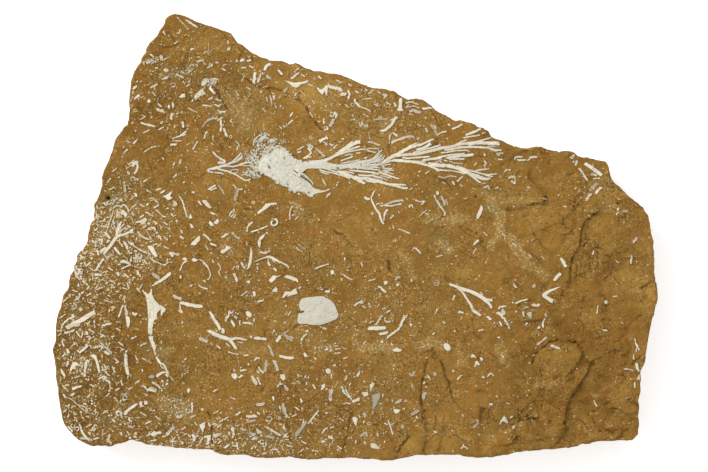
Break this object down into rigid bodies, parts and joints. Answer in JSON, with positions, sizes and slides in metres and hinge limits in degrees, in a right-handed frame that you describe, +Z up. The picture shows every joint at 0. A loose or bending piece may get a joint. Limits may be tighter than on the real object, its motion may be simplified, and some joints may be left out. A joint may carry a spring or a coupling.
{
  "type": "bryozoan fossil slab",
  "caption": "Flat broken slab of ochre mudstone with branching bryozoan colonies and loose twig fragments set in its upper face.",
  "frame": {"origin": "middle of the block's bounding box, on the ground it lies on", "axes": "+X along the slab's length, with the colony's root to the left and its frond tips to the right; +Y towards the pointed upper left corner; +Z up, out of the fossil face"},
  "size_m": [0.2112, 0.1556, 0.0203],
  "materials": {
    "matrix": "matte ochre mudstone with fine pale grains",
    "fossil": "dull cream calcite with fine pores",
    "sheet": "smooth pale grey cream calcite"
  },
  "bodies": {
    "root": {"arched_twig": "fossil", "bent_twig_lower": "fossil", "bent_twig_upper": "fossil", "broad_left_bar": "fossil", "colony_base_lower_arm": "fossil", "colony_base_middle_arm": "fossil", "colony_base_stem": "fossil", "colony_base_twig": "fossil", "colony_base_upper_arm": "fossil", "colony_core": "fossil", "colony_first_frond_inner": "fossil", "colony_first_frond_lower": "fossil", "colony_first_frond_strand": "fossil", "colony_first_frond_upper": "fossil", "colony_lower_lobe": "fossil", "colony_main_stem": "fossil", "colony_mesh_panel": "fossil", "colony_second_frond_centre": "fossil", "colony_second_frond_crest": "fossil", "colony_second_frond_keel": "fossil", "colony_second_frond_stem": "fossil", "colony_second_frond_tip": "fossil", "colony_second_frond_upper": "fossil", "colony_upper_tuft": "fossil", "curved_twig": "fossil", "drooping_bar": "fossil", "falling_bar": "fossil", "fan_blade": "fossil", "fan_side_twig": "fossil", "fan_stalk": "fossil", "fan_tail": "fossil", "far_left_bar": "fossil", "leaning_twig": "fossil", "ledge_bar_high": "fossil", "ledge_bar_low": "fossil", "left_fork_right_arm": "fossil", "left_fork_stem": "fossil", "left_fork_upper_arm": "fossil", "long_flat_bar": "fossil", "long_slant_twig": "fossil", "lower_fork_lower_arm": "fossil", "lower_fork_stem": "fossil", "lower_fork_upper_arm": "fossil", "lower_middle_bar": "fossil", "matrix_slab": "matrix", "middle_bar": "fossil", "right_corner_bar": "fossil", "right_fork_lower_arm": "fossil", "right_fork_stem": "fossil", "right_fork_upper_arm": "fossil", "rising_bar": "fossil", "sheet_fragment": "sheet", "short_flat_bar": "fossil", "spike_twig": "fossil", "steep_bar": "fossil", "upper_edge_twig_bar": "fossil", "upper_left_bar": "fossil", "upright_bar": "fossil", "wavy_bar": "fossil"}
  },
  "joints": []
}
